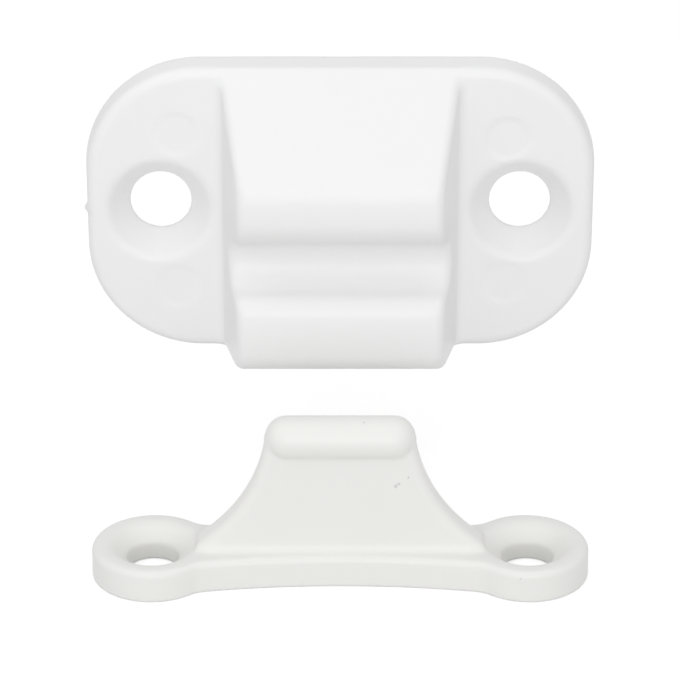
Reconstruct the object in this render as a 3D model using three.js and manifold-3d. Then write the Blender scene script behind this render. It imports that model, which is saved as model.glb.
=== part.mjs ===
// A two-piece snap door catch in white plastic, in millimetres, +Z up.
// The keeper is a screw-on plate with two jaws and a groove between them. The strike is a
// screw-on foot whose web carries a round bead that the jaws hold when the door swings home.
// The origin is the middle of the keeper's back face: the wall is the plane y = 0, and the
// jaws reach out along -Y.
import * as THREE from 'three';
import { mergeVertices } from 'three/addons/utils/BufferGeometryUtils.js';
import Module from 'manifold-3d';

const wasm = await Module();
wasm.setup();

// Keeper plate
const plateHeight = 30.3;
const plateThickness = 3.1;
const plateEndFlat = 7.6;
const plateDraft = THREE.MathUtils.degToRad(4.5);
const plateEdgeRadius = 0.7;

// Keeper screw holes, countersunk nearly to the back of the plate
const keeperHoleDiameter = 5.9;
const keeperSinkDiameter = 10.3;
const keeperHoleLand = 0.4;
const sinkToBlock = 0.95;
const sinkToEdge = 2.15;

// Jaw block: reaches are measured out from the wall, levels up from the plate's middle
const blockWidth = 23.2;
const blockDraft = THREE.MathUtils.degToRad(11.8);
const blockEdgeRadius = 0.6;
const slopeMargin = 0.45;
const noseReach = 11.4;
const noseRadius = 5.1;
const noseLevel = 3.9;
const noseUnderturn = THREE.MathUtils.degToRad(63.1);
const jawSetback = 0.5;
const jawBulgeRadius = 20;
const lipRadius = 2.0;
const chinRadius = 2.0;

// Hollow behind the block, halved by a rib
const blockWall = 1.8;
const ribThickness = 2.4;

// Strike foot, a dog-bone with a countersunk hole in each lug
const strikeHoleSpacing = 36.3;
const strikeHoleDiameter = 4.9;
const strikeSinkDiameter = 8.4;
const strikeHoleLand = 1.8;
const lugRim = 1.75;
const lugBlendRadius = 3;
const footThickness = 3.25;
const footDraft = THREE.MathUtils.degToRad(0.5);
const footEdgeRadius = 0.6;
const waistRadius = 80;

// Strike web and bead
const beadDiameter = 4.2;
const beadLength = 14.7;
const beadHeight = 14.85;
const beadGap = 0.65;
const webThickness = 2.4;
const webFlareRadius = 16;
const webBlendRadius = 1.2;
const webToeOverlap = 0.3;

// At rest the bead lies this far out from the groove and as far below it
const swingRadius = 12;

// Fineness of the round stretches, and how far a cutting tool runs past what it cuts
const arcSegments = 8;
const turnSegments = 48;
const edgeSegments = 3;
const overcut = 1;

// Sizes that follow from those above
const keeperHoleSpacing = blockWidth + 2 * sinkToBlock + keeperSinkDiameter;
const plateWidth = keeperHoleSpacing + keeperSinkDiameter + 2 * sinkToEdge;
const plateCornerRadius = (plateHeight - plateEndFlat) / 2;
const jawReach = noseReach - jawSetback;
const lugDiameter = strikeSinkDiameter + 2 * lugRim;
const waistWidth = webThickness + 2 * (webBlendRadius + footEdgeRadius);
const webFootLength = strikeHoleSpacing - strikeSinkDiameter + 2 * webToeOverlap;

// How a flat outline and its thickness lie: on the wall, across the groove, across the bead
const right = new THREE.Vector3(1, 0, 0);
const back = new THREE.Vector3(0, 1, 0);
const up = new THREE.Vector3(0, 0, 1);
const left = right.clone().negate();
const out = back.clone().negate();
const onWall = new THREE.Matrix4().makeBasis(right, up, out);
const acrossGroove = new THREE.Matrix4().makeBasis(out, up, left);
const acrossBead = new THREE.Matrix4().makeBasis(back, up, right);
const onGround = new THREE.Matrix4();

const keeperPlastic = new THREE.MeshStandardMaterial({ color: 0xf4f4f4, roughness: 0.35, metalness: 0 });
const strikePlastic = new THREE.MeshStandardMaterial({ color: 0xebebe6, roughness: 0.4, metalness: 0 });

// A closed solid from a geometry: equal corners are merged, and collapsed triangles left out.
function solid(geometry) {
  const bare = geometry.clone();
  bare.deleteAttribute('normal');
  bare.deleteAttribute('uv');
  const merged = mergeVertices(bare);
  const corners = merged.index.array;
  const kept = [];
  for (let i = 0; i < corners.length; i += 3) {
    const [a, b, c] = corners.slice(i, i + 3);
    if (a !== b && b !== c && c !== a) {
      kept.push(a, b, c);
    }
  }
  const vertProperties = Float32Array.from(merged.attributes.position.array);
  const triVerts = Uint32Array.from(kept);
  return new wasm.Manifold(new wasm.Mesh({ numProp: 3, vertProperties, triVerts }));
}

// A named mesh of a finished solid.
function mesh(name, body, material) {
  const { vertProperties, triVerts } = body.getMesh();
  const geometry = new THREE.BufferGeometry();
  geometry.setAttribute('position', new THREE.BufferAttribute(vertProperties, 3));
  geometry.setIndex(new THREE.BufferAttribute(triVerts, 1));
  geometry.computeVertexNormals();
  const made = new THREE.Mesh(geometry, material);
  made.name = name;
  return made;
}

function cut(body, tools) {
  return tools.reduce((rest, tool) => rest.subtract(tool), body);
}

// The same change made to every corner of a geometry.
function reshape(geometry, change) {
  const place = geometry.attributes.position;
  const point = new THREE.Vector3();
  for (let i = 0; i < place.count; i += 1) {
    change(point.fromBufferAttribute(place, i));
    place.setXYZ(i, point.x, point.y, point.z);
  }
  return geometry;
}

// An outline given a thickness, half to each side of its plane, with its end edges rounded.
function slab(outline, thickness, edgeRadius, lie) {
  const geometry = new THREE.ExtrudeGeometry(outline, {
    depth: thickness - 2 * edgeRadius,
    bevelEnabled: edgeRadius > 0,
    bevelThickness: edgeRadius,
    bevelSize: edgeRadius,
    bevelOffset: -edgeRadius,
    bevelSegments: edgeSegments,
    curveSegments: arcSegments,
  });
  geometry.translate(0, 0, edgeRadius - thickness / 2);
  return geometry.applyMatrix4(lie);
}

// A flat moulding that stands on its plane: square at the back, leaning in by its draft to a
// rounded front edge. It is the front half of a slab of twice the thickness.
function pad(outline, thickness, edgeRadius, draft, lie) {
  const geometry = slab(outline, 2 * thickness, edgeRadius, onGround);
  geometry.computeBoundingBox();
  const half = geometry.boundingBox.max.clone();
  reshape(geometry, (point) => {
    const inset = point.z * Math.tan(draft);
    point.x *= 1 - inset / half.x;
    point.y *= 1 - inset / half.y;
  });
  const depth = thickness + overcut;
  const front = new THREE.BoxGeometry(2 * half.x + overcut, 2 * half.y + overcut, depth);
  front.translate(0, 0, depth / 2);
  return solid(geometry.applyMatrix4(lie)).intersect(solid(front.applyMatrix4(lie)));
}

// The cutting tools for a pair of countersunk holes through a pad.
function screwHoles(spacing, holeDiameter, sinkDiameter, land, thickness, lie) {
  const profile = [
    new THREE.Vector2(0, -overcut),
    new THREE.Vector2(holeDiameter / 2, -overcut),
    new THREE.Vector2(holeDiameter / 2, land),
    new THREE.Vector2(sinkDiameter / 2, thickness),
    new THREE.Vector2(sinkDiameter / 2, thickness + overcut),
    new THREE.Vector2(0, thickness + overcut),
  ];
  return [-1, 1].map((side) => {
    const geometry = new THREE.LatheGeometry(profile, turnSegments);
    geometry.rotateX(Math.PI / 2);
    geometry.translate((side * spacing) / 2, 0, 0);
    return solid(geometry.applyMatrix4(lie));
  });
}

function angleTo(from, to) {
  return Math.atan2(to.y - from.y, to.x - from.x);
}

function turned(length, angle) {
  return new THREE.Vector2(length * Math.cos(angle), length * Math.sin(angle));
}

// The point at a given distance from each of two centres, on the left of the way between them.
function circlesMeet(first, firstRadius, second, secondRadius) {
  const way = second.clone().sub(first);
  const apart = way.length();
  const along = (apart ** 2 + firstRadius ** 2 - secondRadius ** 2) / (2 * apart);
  const aside = Math.sqrt(firstRadius ** 2 - along ** 2);
  way.divideScalar(apart);
  const across = new THREE.Vector2(-way.y, way.x);
  return first.clone().addScaledVector(way, along).addScaledVector(across, aside);
}

// Jaw section in the plane of reach and level. The slope runs into the round nose, the nose
// into the groove, and the groove over the lip and the bulged jaw to the chin, each arc tangent
// to the next.
const plateInset = plateThickness * Math.tan(plateDraft);
const slopeFoot = new THREE.Vector2(plateThickness, plateHeight / 2 - plateInset - slopeMargin);
const chinLevel = plateInset - plateHeight / 2;
const nose = new THREE.Vector2(noseReach - noseRadius, noseLevel);
const slopeLean = angleTo(slopeFoot, nose) + Math.asin(noseRadius / slopeFoot.distanceTo(nose));
const slopeNormal = slopeLean + Math.PI / 2;
const grooveRadius = beadDiameter / 2 + beadGap;
const groove = turned(noseRadius + grooveRadius, -noseUnderturn).add(nose);
const lipAside = groove.x - (jawReach - lipRadius);
const lipDrop = Math.sqrt((grooveRadius + lipRadius) ** 2 - lipAside ** 2);
const lip = new THREE.Vector2(groove.x - lipAside, groove.y - lipDrop);
const bulge = new THREE.Vector2(jawReach - jawBulgeRadius, lip.y);
const chinTurn = Math.asin((lip.y - chinLevel - chinRadius) / (jawBulgeRadius - chinRadius));
const chin = turned(jawBulgeRadius - chinRadius, -chinTurn).add(bulge);

function jawSection() {
  const root = plateThickness / 2;
  const grooveStart = Math.PI - noseUnderturn;
  const grooveEnd = angleTo(groove, lip) + 2 * Math.PI;
  const shape = new THREE.Shape();
  shape.moveTo(root, slopeFoot.y);
  shape.lineTo(slopeFoot.x, slopeFoot.y);
  shape.absarc(nose.x, nose.y, noseRadius, slopeNormal, -noseUnderturn, true);
  shape.absarc(groove.x, groove.y, grooveRadius, grooveStart, grooveEnd, false);
  shape.absarc(lip.x, lip.y, lipRadius, angleTo(lip, groove), 0, true);
  shape.absarc(bulge.x, bulge.y, jawBulgeRadius, 0, -chinTurn, true);
  shape.absarc(chin.x, chin.y, chinRadius, -chinTurn, -Math.PI / 2, true);
  shape.lineTo(root, chinLevel);
  shape.closePath();
  return shape;
}

// The hollow's section keeps one wall to the jaw section, with plain corners at lip and chin.
function coreSection() {
  const start = turned(-blockWall, slopeNormal).add(slopeFoot);
  const seatRadius = grooveRadius + blockWall;
  const innerRadius = jawBulgeRadius - blockWall;
  const corner = circlesMeet(groove, seatRadius, bulge, innerRadius);
  const cornerTurn = angleTo(groove, corner) + 2 * Math.PI;
  const floor = chinLevel + blockWall;
  const floorTurn = Math.asin((bulge.y - floor) / innerRadius);
  const shape = new THREE.Shape();
  shape.moveTo(-overcut, start.y);
  shape.lineTo(start.x, start.y);
  shape.absarc(nose.x, nose.y, noseRadius - blockWall, slopeNormal, -noseUnderturn, true);
  shape.absarc(groove.x, groove.y, seatRadius, Math.PI - noseUnderturn, cornerTurn, false);
  shape.absarc(bulge.x, bulge.y, innerRadius, angleTo(bulge, corner), -floorTurn, true);
  shape.lineTo(-overcut, floor);
  shape.closePath();
  return shape;
}

// The block's side walls lean in by the draft, from the plate's face outwards.
function leanSides(point) {
  const height = Math.max(0, -point.y - plateThickness);
  point.x *= 1 - (height * Math.tan(blockDraft)) / (blockWidth / 2);
}

function jawBlock() {
  const geometry = slab(jawSection(), blockWidth, blockEdgeRadius, acrossGroove);
  return solid(reshape(geometry, leanSides));
}

function blockCores() {
  const coreWidth = (blockWidth - ribThickness) / 2 - blockWall;
  return [-1, 1].map((side) => {
    const geometry = slab(coreSection(), coreWidth, 0, acrossGroove);
    geometry.translate((side * (ribThickness + coreWidth)) / 2, 0, 0);
    return solid(reshape(geometry, leanSides));
  });
}

function plateOutline() {
  const x = plateWidth / 2 - plateCornerRadius;
  const y = plateHeight / 2 - plateCornerRadius;
  const quarter = Math.PI / 2;
  const shape = new THREE.Shape();
  [[x, y], [-x, y], [-x, -y], [x, -y]].forEach((corner, i) => {
    shape.absarc(...corner, plateCornerRadius, i * quarter, (i + 1) * quarter, false);
  });
  shape.closePath();
  return shape;
}

function keeperBody() {
  const plate = pad(plateOutline(), plateThickness, plateEdgeRadius, plateDraft, onWall);
  const holes = screwHoles(
    keeperHoleSpacing, keeperHoleDiameter, keeperSinkDiameter, keeperHoleLand, plateThickness, onWall,
  );
  return cut(plate.add(jawBlock()), [...blockCores(), ...holes]);
}

// Dog-bone outline of the foot: a lug, a blend, the waist's long arc and another blend, twice.
// A blend touches its lug from outside and the waist's circle from inside.
function footOutline() {
  const lugRadius = lugDiameter / 2;
  const lug = new THREE.Vector2(strikeHoleSpacing / 2, 0);
  const waist = new THREE.Vector2(0, waistWidth / 2 + waistRadius);
  const blend = circlesMeet(lug, lugRadius + lugBlendRadius, waist, waistRadius - lugBlendRadius);
  const lugTurn = angleTo(lug, blend);
  const waistTurn = angleTo(waist, blend);
  const shape = new THREE.Shape();
  for (const [sign, turn] of [[1, 0], [-1, Math.PI]]) {
    const [x, y] = [sign * blend.x, sign * blend.y];
    const waistEnd = turn - Math.PI - waistTurn;
    shape.absarc(sign * lug.x, 0, lugRadius, turn - lugTurn, turn + lugTurn, false);
    shape.absarc(x, y, lugBlendRadius, turn + lugTurn - Math.PI, turn + waistTurn, true);
    shape.absarc(0, sign * waist.y, waistRadius, turn + waistTurn, waistEnd, true);
    shape.absarc(-x, y, lugBlendRadius, waistEnd, turn - lugTurn, true);
  }
  shape.closePath();
  return shape;
}

// Section of the web across the bead, with a hollow blend on each side down to the foot.
function webSection() {
  const half = webThickness / 2;
  const toe = half + webBlendRadius;
  const blendTop = footThickness + webBlendRadius;
  const shape = new THREE.Shape();
  shape.moveTo(-toe, footThickness / 2);
  shape.lineTo(toe, footThickness / 2);
  shape.absarc(toe, blendTop, webBlendRadius, -Math.PI / 2, -Math.PI, true);
  shape.lineTo(half, beadHeight);
  shape.lineTo(-half, beadHeight);
  shape.absarc(-toe, blendTop, webBlendRadius, 0, -Math.PI / 2, true);
  shape.closePath();
  return shape;
}

// Front of the web: each end sweeps out in a hollow arc from the bead's end to the foot.
function webFront() {
  const top = new THREE.Vector2(beadLength / 2, beadHeight);
  const toe = new THREE.Vector2(webFootLength / 2, footThickness);
  const sweep = circlesMeet(top, webFlareRadius, toe, webFlareRadius);
  const fromTop = angleTo(sweep, top);
  const fromToe = angleTo(sweep, toe);
  const shape = new THREE.Shape();
  shape.moveTo(-toe.x, footThickness / 2);
  shape.lineTo(toe.x, footThickness / 2);
  shape.absarc(sweep.x, sweep.y, webFlareRadius, fromToe, fromTop, true);
  shape.absarc(-sweep.x, sweep.y, webFlareRadius, Math.PI - fromTop, Math.PI - fromToe, true);
  shape.closePath();
  return shape;
}

function strikeBody() {
  const foot = pad(footOutline(), footThickness, footEdgeRadius, footDraft, onGround);
  const lengthwise = slab(webSection(), webFootLength + overcut, 0, acrossBead);
  const crosswise = slab(webFront(), lugDiameter, 0, onWall);
  const web = solid(lengthwise).intersect(solid(crosswise));
  const bead = new THREE.CapsuleGeometry(
    beadDiameter / 2, beadLength - beadDiameter, arcSegments, turnSegments,
  );
  bead.rotateZ(Math.PI / 2).translate(0, 0, beadHeight);
  const holes = screwHoles(
    strikeHoleSpacing, strikeHoleDiameter, strikeSinkDiameter, strikeHoleLand, footThickness, onGround,
  );
  return cut(foot.add(web).add(solid(bead)), holes);
}

const keeper = mesh('keeper', keeperBody(), keeperPlastic);
const strike = mesh('strike', strikeBody(), strikePlastic);
strike.position.set(0, -groove.x - swingRadius, groove.y - swingRadius - beadHeight);

const doorCatch = new THREE.Group();
doorCatch.add(keeper, strike);

export default doorCatch;
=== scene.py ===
# White plastic snap door catch: a keeper with jaws above, its strike below, on a pale floor
import bpy
import numpy as np
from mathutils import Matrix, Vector


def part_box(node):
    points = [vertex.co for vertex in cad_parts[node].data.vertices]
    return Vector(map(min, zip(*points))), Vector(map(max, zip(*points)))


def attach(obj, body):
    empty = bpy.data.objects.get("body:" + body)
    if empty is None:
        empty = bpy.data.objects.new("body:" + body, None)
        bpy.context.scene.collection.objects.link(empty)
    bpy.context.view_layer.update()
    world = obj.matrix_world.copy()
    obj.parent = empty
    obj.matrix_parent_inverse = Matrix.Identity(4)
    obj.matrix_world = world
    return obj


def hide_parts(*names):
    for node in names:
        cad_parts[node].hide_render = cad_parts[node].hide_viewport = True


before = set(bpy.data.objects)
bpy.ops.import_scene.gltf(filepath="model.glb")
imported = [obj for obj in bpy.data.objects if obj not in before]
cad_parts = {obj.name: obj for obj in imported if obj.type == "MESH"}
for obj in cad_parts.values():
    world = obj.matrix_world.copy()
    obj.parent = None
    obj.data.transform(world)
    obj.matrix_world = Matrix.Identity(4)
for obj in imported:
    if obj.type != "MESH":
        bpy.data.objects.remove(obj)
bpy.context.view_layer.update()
mm = 0.001  # shapes are worked out in millimetres, Blender is in metres


def nodeBox(name):  # lowest and highest corner of a frame node, in millimetres
    return np.array(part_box(name)) / mm


def unit(degrees):  # the unit vector at an angle
    turn = np.radians(degrees)
    return np.array([np.cos(turn), np.sin(turn)])


def bearing(fromPoint, toPoint):  # the angle of the way from one point to another, in degrees
    return np.degrees(np.arctan2(*(toPoint - fromPoint)[::-1]))


# Union of two faces with a hollow fillet. lean is the cosine between their outward normals.
# Between the fillet's two ends the distance is the radius less the way to the fillet's centre,
# elsewhere it is the smaller of the two. Distances are negative inside the plastic.
def hollowCorner(a, b, radius, lean=0.0):
    p, q = a - radius, b - radius
    away = np.sqrt(np.maximum(p * p + q * q - 2 * lean * p * q, 0) / (1 - lean * lean))
    return np.where((p < lean * q) & (q < lean * p), radius - away, np.minimum(a, b))


# Overlap of two faces with a rounded edge: the hollow corner of the empty side
def roundEdge(a, b, radius):
    return -hollowCorner(-a, -b, radius)


# Where two circles cross, on the left of the way from the first centre to the second
def circlesMeet(first, firstRadius, second, secondRadius):
    apart = np.hypot(*(second - first))
    way = (second - first) / apart
    along = (apart ** 2 + firstRadius ** 2 - secondRadius ** 2) / (2 * apart)
    aside = np.sqrt(firstRadius ** 2 - along ** 2)
    return first + way * along + np.array([-way[1], way[0]]) * aside


# Distance from an arc, in the sector that the arc spans, and endless outside that sector
def arcGap(u, v, centre, radius, start, end):
    du, dv = u - centre[0], v - centre[1]
    away = np.hypot(du, dv)
    middle = unit((start + end) / 2)
    within = du * middle[0] + dv * middle[1] >= away * np.cos(np.radians(abs(end - start) / 2))
    return np.where(within, np.abs(away - radius), np.inf)


# Signed distance from a countersunk hole's wall, negative in the hole: the way from the axis less
# the hole's radius, which grows with height from the land up to the mouth, along a softened ramp
def sinkGap(fromAxis, height, thickness, s):
    slope = (s["sink"] - s["hole"]) / 2 / (thickness - s["land"])
    over = height - s["land"]
    ramp = (over + np.sqrt(over * over + s["throatSoft"] ** 2)) / 2
    wall = np.minimum(s["hole"] / 2 + slope * ramp, s["sink"] / 2)
    return (fromAxis - wall) / np.where(over > 0, np.hypot(1, slope), 1)


# A view of a grid with axis a in front and the two that follow it behind, in turn
def turned(grid, a):
    return np.moveaxis(grid, (a, (a + 1) % 3, (a + 2) % 3), (0, 1, 2))


# One corner for every cell that the zero surface passes, at the mean of the crossings on the cell's
# edges, with each cell's corner number and the grid edges that are crossed
def cellCorners(depth, axes):
    cells = tuple(n - 1 for n in depth.shape)
    total = np.zeros(cells + (3,))
    count = np.zeros(cells)
    crossed = []
    for a in range(3):
        b, c = (a + 1) % 3, (a + 2) % 3
        low, high = turned(depth, a)[:-1], turned(depth, a)[1:]
        hit = (low < 0) != (high < 0)
        share = np.where(hit, low / np.where(hit, low - high, 1), 0)
        along = axes[a][:-1, None, None] + share * np.diff(axes[a])[:, None, None]
        sumView, countView = turned(total, a), turned(count, a)
        for i in (0, 1):
            for j in (0, 1):
                rows, files = slice(i, i + cells[b]), slice(j, j + cells[c])
                met = hit[:, rows, files]
                sumView[..., a] += np.where(met, along[:, rows, files], 0)
                sumView[..., b] += met * axes[b][rows][None, :, None]
                sumView[..., c] += met * axes[c][files][None, None, :]
                countView += met
        crossed.append(hit)
    used = count > 0
    number = np.full(cells, -1)
    number[used] = np.arange(used.sum())
    return total[used] / count[used][:, None], number, crossed


# A quad of the four cells round every crossed grid edge, wound to face out of the plastic
def edgeQuads(inside, number, crossed):
    quads = []
    for a in range(3):
        cell = turned(number, a)
        hit = crossed[a][:, 1:-1, 1:-1]
        ring = [cell[:, :-1, :-1], cell[:, 1:, :-1], cell[:, 1:, 1:], cell[:, :-1, 1:]]
        loop = np.stack([r[hit] for r in ring], axis=1)
        leaving = turned(inside, a)[:-1, 1:-1, 1:-1][hit]
        quads.append(np.where(leaving[:, None], loop, loop[:, ::-1]))
    return np.concatenate(quads)


# Corners slid onto the zero surface: each step goes down the field's slope by its height over it
def settled(field, corners, steps=3, nudge=0.01, flattest=0.25):
    shifts = nudge * np.eye(3)
    for _ in range(steps):
        height = field(*corners.T)
        slope = np.stack([field(*(corners + s).T) - field(*(corners - s).T) for s in shifts], axis=1)
        slope /= 2 * nudge
        corners = corners - slope * (height / np.maximum((slope ** 2).sum(1), flattest))[:, None]
    return corners


# The zero surface of a distance field on a grid of millimetres, as corners and quads
def skin(field, axes):
    depth = field(axes[0][:, None, None], axes[1][None, :, None], axes[2][None, None, :])
    corners, number, crossed = cellCorners(depth, axes)
    return settled(field, corners), edgeQuads(depth < 0, number, crossed)


# A smooth-shaded mesh object from corners in millimetres and quads of corner numbers
def meshPiece(name, corners, quads):
    mesh = bpy.data.meshes.new(name)
    mesh.vertices.add(len(corners))
    mesh.vertices.foreach_set("co", (corners * mm).astype(np.float32).ravel())
    mesh.loops.add(quads.size)
    mesh.loops.foreach_set("vertex_index", quads.astype(np.int32).ravel())
    mesh.polygons.add(len(quads))
    mesh.polygons.foreach_set("loop_start", np.arange(0, quads.size, 4, dtype=np.int32))
    mesh.polygons.foreach_set("use_smooth", np.ones(len(quads), bool))
    mesh.update(calc_edges=True)
    mesh.validate()
    piece = bpy.data.objects.new(name, mesh)
    bpy.context.scene.collection.objects.link(piece)
    print(name, len(corners), "corners", len(quads), "quads")
    return piece


# Evenly spaced grid lines that run past both ends of a stretch by the spare cells
def gridLines(low, high, cell, spare=2):
    count = int(np.ceil((high - low) / cell)) + 2 * spare
    return (low + high) / 2 + (np.arange(count + 1) - count / 2) * cell


keeper = {
    "cell": 0.25,
    "thickness": 3.1, "endFlat": 7.6, "rimDraft": 4.5, "rimEdge": 0.9, "backEdge": 0.25,
    "holeSpacing": 35.4, "hole": 5.9, "sink": 10.3, "land": 0.4, "throatSoft": 0.2, "sinkEdge": 0.45,
    "blockWidth": 23.2, "blockDraft": 11.8, "blockEdge": 0.8, "footFillet": 1.0, "slopeMargin": 0.45,
    "noseRadius": 5.1, "noseLevel": 3.9, "noseFront": 16.0, "noseLean": 3.5,
    "brow": 3.4, "browTurn": 76.0, "grooveRadius": 2.75,
    "jawSetback": 0.5, "jawBulge": 16.0, "jawLean": 8.0, "lip": 2.2, "chin": 2.6,
    "wall": 1.8, "rib": 2.4, "coreEdge": 0.5,
    "markRadius": 2.15, "markSoft": 0.1,
    # each ejector mark's place on the plate and depth
    "marks": ((-16.0, 8.2, 0.09), (16.3, 7.7, 0.14), (-16.0, -8.2, 0.1), (16.2, -7.8, 0.1)),
    "nibLevel": -0.3, "nibReach": 1.5, "nibRadius": 0.4, "nibBlend": 0.2,
}
keeperLow, keeperHigh = nodeBox("keeper")


# The jaw outline in reach and level: a slope that runs into the round nose, the nose by its flat
# front and brow into the groove, and the groove over lip and bulge to the chin, each tangent to the next
def jawOutline(k):
    half = (keeperHigh - keeperLow)[2] / 2
    noseReach = -keeperLow[1]
    inset = k["thickness"] * np.tan(np.radians(k["rimDraft"]))
    foot = np.array([k["thickness"], half - inset - k["slopeMargin"]])
    nose = np.array([noseReach - k["noseRadius"], k["noseLevel"]])
    noseShare = k["noseRadius"] / np.hypot(*(nose - foot))
    slopeUp = bearing(foot, nose) + np.degrees(np.arcsin(noseShare)) + 90
    front = nose - (k["noseFront"] - k["noseRadius"]) * unit(k["noseLean"])
    brow = front + (k["noseFront"] - k["brow"]) * unit(-k["noseLean"])
    groove = brow + (k["brow"] + k["grooveRadius"]) * unit(-k["browTurn"])
    toBulge = (k["jawBulge"] - k["lip"]) * unit(k["jawLean"])
    lipAside = groove[0] - (noseReach - k["jawSetback"] - k["jawBulge"] + toBulge[0])
    lipDrop = np.sqrt((k["grooveRadius"] + k["lip"]) ** 2 - lipAside ** 2)
    lip = groove - np.array([lipAside, lipDrop])
    bulge = lip - toBulge
    under = k["rimDraft"] - 90
    along = unit(under + 90)
    start = np.array([k["thickness"], inset - half]) - k["chin"] * unit(under)
    toStart = start - bulge
    ahead = -toStart @ along
    chinAway = k["jawBulge"] - k["chin"]
    chin = start + along * (ahead + np.sqrt(ahead ** 2 + chinAway ** 2 - toStart @ toStart))
    chinTurn = bearing(bulge, chin)
    arcs = [
        (nose, k["noseRadius"], slopeUp, k["noseLean"]),
        (front, k["noseFront"], k["noseLean"], -k["noseLean"]),
        (brow, k["brow"], -k["noseLean"], -k["browTurn"]),
        (groove, k["grooveRadius"], 180 - k["browTurn"], bearing(groove, lip) + 360),
        (lip, k["lip"], bearing(lip, groove), k["jawLean"]),
        (bulge, k["jawBulge"], k["jawLean"], chinTurn),
        (chin, k["chin"], chinTurn, under),
    ]
    return foot, slopeUp, arcs


jawFoot, jawSlopeUp, jawArcs = jawOutline(keeper)


# Signed distance from the jaw outline: the nearest of the slope, the bottom and the arcs, and
# inside above the bottom where the reach is less than the outline's own reach at that level
def jawGap(reach, level, farthest=99.0):
    normal = unit(jawSlopeUp)
    top = jawArcs[0][0] + jawArcs[0][1] * normal
    slopeGap = (reach - jawFoot[0]) * normal[0] + (level - jawFoot[1]) * normal[1]
    aboveNose = (level - top[1]) * normal[0] - (reach - top[0]) * normal[1] > 0
    gap = np.where(aboveNose, np.abs(slopeGap), np.inf)
    chin, chinRadius, _, under = jawArcs[-1]
    down = unit(under)
    underGap = (reach - chin[0]) * down[0] + (level - chin[1]) * down[1] - chinRadius
    behindChin = (reach - chin[0]) * down[1] - (level - chin[1]) * down[0] > 0
    gap = np.minimum(gap, np.where(behindChin, np.abs(underGap), np.inf))
    outline = jawFoot[0] - (level - jawFoot[1]) * normal[1] / normal[0]
    arcTop = top[1]
    for centre, radius, start, end in jawArcs:
        side = np.sign(unit((start + end) / 2)[0])
        across = np.sqrt(np.maximum(radius ** 2 - (level - centre[1]) ** 2, 0))
        outline = np.where(level < arcTop, centre[0] + side * across, outline)
        gap = np.minimum(gap, arcGap(reach, level, centre, radius, start, end))
        arcTop = centre[1] + radius * unit(end)[1]
    within = (reach < outline) & (underGap < 0)
    return np.where(within, -1, 1) * np.minimum(gap, farthest)


# Signed distance of the plate: a round-cornered outline that shrinks by its draft with the reach, a
# rounded rim, and a front that each ejector mark sinks by its depth along a soft step
def plateGap(x, reach, z, k):
    halfWide, halfHigh = (keeperHigh - keeperLow)[[0, 2]] / 2
    corner = halfHigh - k["endFlat"] / 2
    qx, qz = np.abs(x) - halfWide + corner, np.abs(z) - halfHigh + corner
    pastCorner = np.hypot(np.maximum(qx, 0), np.maximum(qz, 0))
    outline = pastCorner + np.minimum(np.maximum(qx, qz), 0) - corner
    draft = np.radians(k["rimDraft"])
    rim = (outline + reach * np.tan(draft)) * np.cos(draft)
    front = reach - k["thickness"]
    for across, up, depth in k["marks"]:
        fromMark = np.hypot(x - across, z - up) - k["markRadius"]
        front = front + depth * (1 - np.tanh(fromMark / k["markSoft"] / 2)) / 2
    return roundEdge(rim, front, k["rimEdge"])


# Signed distances of the block, which is the jaw outline between two leaning side walls with hollow
# feet, cut off at the plate's drafted top, and of its cores, which leave a wall and a rib between them
def blockGaps(x, reach, z, k):
    ax = np.abs(x)
    lean, draft = np.radians([k["blockDraft"], k["rimDraft"]])
    side = (ax - k["blockWidth"] / 2 + (reach - k["thickness"]) * np.tan(lean)) * np.cos(lean)
    walls = hollowCorner(reach - k["thickness"], side, k["footFillet"], np.sin(lean))
    walls = np.maximum(walls, ax - k["blockWidth"] / 2 - k["footFillet"])
    jaws = jawGap(reach, z)
    halfHigh = (keeperHigh - keeperLow)[2] / 2
    top = (z - halfHigh + reach * np.tan(draft)) * np.cos(draft)
    block = np.maximum(roundEdge(jaws, walls, k["blockEdge"]), top)
    core = roundEdge(jaws + k["wall"], side + k["wall"], k["coreEdge"])
    return block, roundEdge(core, k["rib"] / 2 - ax, k["coreEdge"])


# Signed distance of the keeper: the plate and the block in one, a nib where the plastic came in on
# the left rim, less the screw holes and the two cores behind the jaws
def keeperField(x, y, z):
    k = keeper
    reach = -y  # the way out from the wall
    block, core = blockGaps(x, reach, z, k)
    body = np.minimum(plateGap(x, reach, z, k), block)
    fromNib = (x - keeperLow[0] - k["nibRadius"] / 2, reach - k["nibReach"], z - k["nibLevel"])
    nib = np.sqrt(sum(way ** 2 for way in fromNib)) - k["nibRadius"]
    body = hollowCorner(body, nib, k["nibBlend"])
    fromAxis = np.hypot(np.abs(x) - k["holeSpacing"] / 2, z)
    body = roundEdge(body, -sinkGap(fromAxis, reach, k["thickness"], k), k["sinkEdge"])
    return roundEdge(np.maximum(body, -core), -reach, k["backEdge"])


def makeKeeper():
    axes = [gridLines(low, high, keeper["cell"]) for low, high in zip(keeperLow, keeperHigh)]
    corners, quads = skin(keeperField, axes)
    piece = meshPiece("keeper_moulding", corners, quads)
    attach(piece, "keeper")
    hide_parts("keeper")
    return piece


strike = {
    "cell": 0.2,
    "holeSpacing": 36.3, "hole": 4.9, "sink": 8.4, "land": 1.8, "throatSoft": 0.2, "sinkEdge": 0.4,
    "footThickness": 3.25, "footEdge": 0.65, "footDraft": 0.5, "bottomEdge": 0.2,
    "waistWidth": 5.8, "waistRadius": 80.0, "lugBlend": 3.0,
    "beadRadius": 2.1, "beadLength": 14.4, "beadFillet": 0.2,
    "webThickness": 2.4, "webTaper": 0.5, "webEdge": 0.95, "webFillet": 0.7,
    "webFlare": 16.0, "webFoot": 29.2,
}
strikeLow, strikeHigh = nodeBox("strike")
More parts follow.
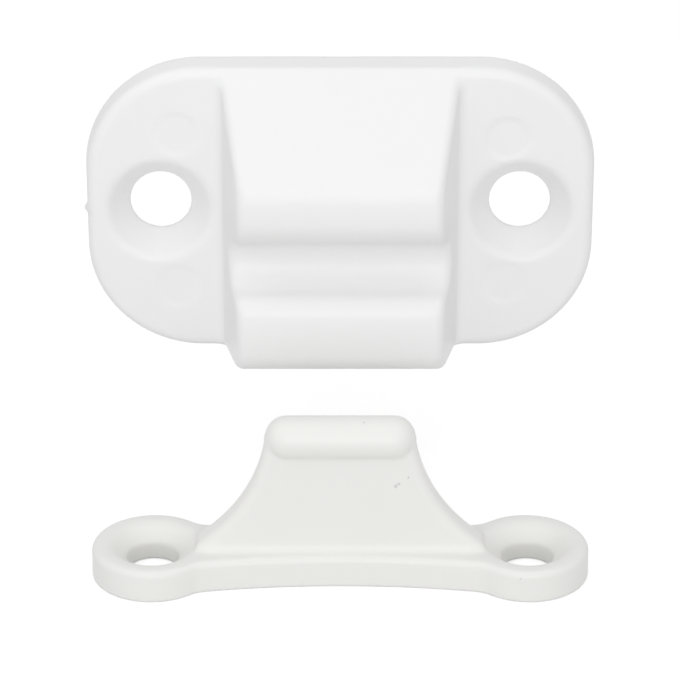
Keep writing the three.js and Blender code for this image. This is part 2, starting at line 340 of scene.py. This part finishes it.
# The middle of the foot's underside, from which the strike's own x, y and z count
strikePlace = np.array([*((strikeLow + strikeHigh) / 2)[:2], strikeLow[2]])


# Signed distance of the foot's dog-bone outline: the lug's circle, the hollow blend and the
# waist's hollow circle, parted by the lines through their centres
def dogBone(ax, ay, s):
    lug = np.array([s["holeSpacing"] / 2, 0])
    lugRadius = (strikeHigh - strikeLow)[1] / 2
    waist = np.array([0, s["waistWidth"] / 2 + s["waistRadius"]])
    blend = circlesMeet(lug, lugRadius + s["lugBlend"], waist, s["waistRadius"] - s["lugBlend"])
    toLug = np.hypot(ax - lug[0], ay) - lugRadius
    toBlend = s["lugBlend"] - np.hypot(ax - blend[0], ay - blend[1])
    toWaist = s["waistRadius"] - np.hypot(ax, ay - waist[1])
    onLug = (blend - lug)[0] * ay < (blend - lug)[1] * (ax - lug[0])
    onWaist = (blend - waist)[0] * (ay - waist[1]) < (blend - waist)[1] * ax
    return np.where(onLug, toLug, np.where(onWaist, toWaist, toBlend))


# Signed distance of the web: ends that are hollow arcs from the bead out to the foot, faces that part
# towards the foot, a hollow fillet where they stand on it, and rounded edges
def webGap(ax, ay, z, beadHeight, s):
    beadEnd = np.array([s["beadLength"] / 2, beadHeight])
    toe = np.array([s["webFoot"] / 2, s["footThickness"]])
    sweep = circlesMeet(beadEnd, s["webFlare"], toe, s["webFlare"])
    flare = s["webFlare"] - np.hypot(ax - sweep[0], z - sweep[1])
    wayDown = np.clip((beadHeight - z) / (beadHeight - s["footThickness"]), 0, 1)
    face = ay - s["webThickness"] / 2 - s["webTaper"] * wayDown
    wall = hollowCorner(z - s["footThickness"], face, s["webFillet"])
    web = np.maximum(roundEdge(flare, wall, s["webEdge"]), face - s["webFillet"])
    return np.maximum(web, np.maximum(z - beadHeight, s["footThickness"] / 2 - z))


# Signed distance of the strike: a rounded dog-bone foot, the web on it and a round-ended bead along
# the top, less the screw holes
def strikeField(x, y, z):
    s = strike
    ax, ay = np.abs(x), np.abs(y)
    outline = dogBone(ax, ay, s) + z * np.tan(np.radians(s["footDraft"]))
    foot = roundEdge(outline, z - s["footThickness"], s["footEdge"])
    beadHeight = (strikeHigh - strikeLow)[2] - s["beadRadius"]
    body = np.minimum(foot, webGap(ax, ay, z, beadHeight, s))
    pastEnd = np.maximum(ax - s["beadLength"] / 2 + s["beadRadius"], 0)
    bead = np.sqrt(pastEnd ** 2 + y ** 2 + (z - beadHeight) ** 2) - s["beadRadius"]
    body = hollowCorner(body, bead, s["beadFillet"])
    fromAxis = np.hypot(ax - s["holeSpacing"] / 2, y)
    body = roundEdge(body, -sinkGap(fromAxis, z, s["footThickness"], s), s["sinkEdge"])
    return roundEdge(body, -z, s["bottomEdge"])


def makeStrike():
    ends = zip(strikeLow - strikePlace, strikeHigh - strikePlace)
    axes = [gridLines(low, high, strike["cell"]) for low, high in ends]
    corners, quads = skin(strikeField, axes)
    piece = meshPiece("strike_moulding", corners + strikePlace, quads)
    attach(piece, "strike")
    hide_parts("strike")
    return piece


# A shader socket that takes part in sums: expressions on values add Math nodes
class Wire:
    def __init__(self, tree, socket=None):
        self.tree = tree
        self.socket = socket

    # Any node: its settings are set first, then its sockets' values or links
    def node(self, kind, settings, inputs, output=0):
        made = self.tree.nodes.new(kind)
        for name, value in settings.items():
            setattr(made, name, value)
        for name, value in inputs.items():
            if isinstance(value, Wire):
                self.tree.links.new(value.socket, made.inputs[name])
            else:
                made.inputs[name].default_value = value
        return Wire(self.tree, made.outputs[output] if made.outputs else None)

    def maths(self, operation, first, second):
        return self.node("ShaderNodeMath", {"operation": operation}, {0: first, 1: second})

    # A mix of two colours: inputs 6 and 7 and output 2 are the Mix node's colour sockets
    def mix(self, share, first, second):
        return self.node("ShaderNodeMix", {"data_type": "RGBA"}, {0: share, 6: first, 7: second}, 2)

    def __add__(self, other):
        return self.maths("ADD", self, other)

    def __sub__(self, other):
        return self.maths("SUBTRACT", self, other)

    def __rsub__(self, other):
        return self.maths("SUBTRACT", other, self)

    def __mul__(self, other):
        return self.maths("MULTIPLY", self, other)

    __radd__ = __add__
    __rmul__ = __mul__


def emptyTree(owner):  # a material's or a world's node tree, cleared for wiring
    owner.use_nodes = True
    owner.node_tree.nodes.clear()
    return Wire(owner.node_tree)


plasticFinish = {
    "keeper": {
        "white": (0.87, 0.87, 0.87), "shade": (0.855, 0.855, 0.855), "roughness": 0.38,
        "specks": (),
    },
    "strike": {
        "white": (0.85, 0.848, 0.828), "shade": (0.835, 0.833, 0.812), "roughness": 0.38,
        "specks": (  # place on the strike and radius, in millimetres
            (5.3, -1.39, 10.3, 0.14), (5.6, -1.39, 10.5, 0.1), (6.5, -1.36, 11.3, 0.11),
            (2.3, -0.7, 16.8, 0.1), (3.3, -0.7, 16.8, 0.1), (-3.5, -1.65, 16.1, 0.08),
            (17.3, -5.9, 2.6, 0.1),
        ),
    },
    "ior": 1.48, "specular": 0.3, "roughnessSpread": 0.08, "noiseMean": 0.5,
    "cloud": {"Scale": 90.0, "Detail": 3.0},
    "grain": {"Scale": 2600.0, "Detail": 2.0}, "grainDepth": 0.000004,
    "ripple": {"Scale": 420.0, "Detail": 1.0}, "rippleDepth": 0.00001,
    "speckFray": 0.0006, "speckGrey": 0.78,
}


# Satin moulded plastic: a faint cloud and a few grey specks in the colour, a fine grain and a slow
# ripple in the surface. A speck is where the way to its middle, frayed by the grain, is short.
def plasticMaterial(name):
    f = plasticFinish
    finish = f[name]
    material = bpy.data.materials.new(name + "_plastic")
    w = emptyTree(material)
    place = w.node("ShaderNodeTexCoord", {}, {}, "Object")
    noises = (f["cloud"], f["grain"], f["ripple"])
    cloud, grain, ripple = (w.node("ShaderNodeTexNoise", {}, {"Vector": place, **n}) for n in noises)
    unevenness = grain - f["noiseMean"]
    colour = w.mix(cloud, (*finish["shade"], 1), (*finish["white"], 1))
    grey = (*(f["speckGrey"] * c for c in finish["shade"]), 1)
    for *spot, radius in finish["specks"]:
        middle = (strikePlace + spot) * mm
        away = w.node("ShaderNodeVectorMath", {"operation": "DISTANCE"}, {0: place, 1: middle}, "Value")
        speck = w.maths("LESS_THAN", away + unevenness * f["speckFray"], radius * mm)
        colour = w.mix(speck, colour, grey)
    roughness = finish["roughness"] + unevenness * f["roughnessSpread"]
    height = grain * f["grainDepth"] + ripple * f["rippleDepth"]
    bump = w.node("ShaderNodeBump", {}, {"Height": height, "Strength": 1.0, "Distance": 1.0})
    plastic = w.node("ShaderNodeBsdfPrincipled", {}, {
        "Base Color": colour, "Roughness": roughness, "Normal": bump,
        "IOR": f["ior"], "Specular IOR Level": f["specular"],
    })
    w.node("ShaderNodeOutputMaterial", {}, {"Surface": plastic})
    return material


white = (1, 1, 1, 1)
stage = {
    "floorHalf": 1.5, "floorBounce": 0.72, "floorGlow": 0.48, "worldFill": 0.655,
    "lamps": {
        "front": {"azimuth": 0, "elevation": 20, "away": 0.6, "size": 0.3, "power": 0.44},
        "low": {"azimuth": 0, "elevation": 3, "away": 0.6, "size": 0.25, "power": 0.66},
        "left": {"azimuth": -50, "elevation": 50, "away": 0.16, "size": 0.14, "power": 0.031},
        "right": {"azimuth": 50, "elevation": 50, "away": 0.16, "size": 0.14, "power": 0.016},
        "top": {"azimuth": 0, "elevation": 85, "away": 0.2, "size": 0.2, "power": 0.027},
    },
}
view = {
    "target": (-0.000024, 0, -0.015784), "distance": 0.370, "azimuth": 0, "elevation": 26.919,
    "lens": 194.3, "near": 0.01,
}


# One where a ray comes from the camera, by a mirror or through glass, and nought elsewhere
def seenRay(w):
    path = w.node("ShaderNodeLightPath", {}, {}, "Is Camera Ray")
    outputs = path.socket.node.outputs
    glossy, through = (Wire(w.tree, outputs[name]) for name in ("Is Glossy Ray", "Is Transmission Ray"))
    return w.maths("MAXIMUM", w.maths("MAXIMUM", path, glossy), through)


# A wide floor under the strike's foot: matt, with a glow that only seen rays meet, so that it is
# white to the eye and still takes the catch's shadow
def makeFloor():
    half = stage["floorHalf"] / mm
    square = half * np.array([(-1, -1), (1, -1), (1, 1), (-1, 1)])
    corners = np.column_stack([square, np.full(len(square), strikeLow[2])])
    floor = meshPiece("floor", corners, np.arange(len(square))[None])
    material = bpy.data.materials.new("floor_white")
    w = emptyTree(material)
    bounce = stage["floorBounce"]
    matt = w.node("ShaderNodeBsdfDiffuse", {}, {"Color": (bounce, bounce, bounce, 1)})
    shine = seenRay(w) * stage["floorGlow"]
    glow = w.node("ShaderNodeEmission", {}, {"Color": white, "Strength": shine})
    both = w.node("ShaderNodeAddShader", {}, {0: matt, 1: glow})
    w.node("ShaderNodeOutputMaterial", {}, {"Surface": both})
    floor.data.materials.append(material)


# White all round to seen rays, and a weaker fill on the catch and the floor
def makeWorld():
    world = bpy.data.worlds.new("studio")
    bpy.context.scene.world = world
    w = emptyTree(world)
    fill = stage["worldFill"]
    strength = fill + seenRay(w) * (1 - fill)
    background = w.node("ShaderNodeBackground", {}, {"Color": white, "Strength": strength})
    w.node("ShaderNodeOutputWorld", {}, {"Surface": background})


# An object that looks at the view's target from its azimuth and elevation, in degrees
def aimedAtTarget(name, data, azimuth, elevation, away):
    turn, rise = np.radians([azimuth, elevation])
    way = Vector((np.sin(turn) * np.cos(rise), -np.cos(turn) * np.cos(rise), np.sin(rise)))
    aimed = bpy.data.objects.new(name, data)
    aimed.location = Vector(view["target"]) + way * away
    aimed.rotation_euler = (-way).to_track_quat("-Z", "Y").to_euler()
    bpy.context.scene.collection.objects.link(aimed)
    return aimed


def makeLamps():
    for name, lamp in stage["lamps"].items():
        data = bpy.data.lights.new(name, "AREA")
        data.shape = "SQUARE"
        data.size = lamp["size"]
        data.energy = lamp["power"]
        aimedAtTarget(name, data, lamp["azimuth"], lamp["elevation"], lamp["away"])


def makeCamera():
    data = bpy.data.cameras.new("camera")
    data.lens = view["lens"]
    data.clip_start = view["near"]
    camera = aimedAtTarget("camera", data, view["azimuth"], view["elevation"], view["distance"])
    bpy.context.scene.camera = camera
    print("camera set")


bpy.context.scene.view_settings.view_transform = "Standard"
makeCamera()
makeKeeper().data.materials.append(plasticMaterial("keeper"))
makeStrike().data.materials.append(plasticMaterial("strike"))
makeFloor()
makeWorld()
makeLamps()
print("stage set")
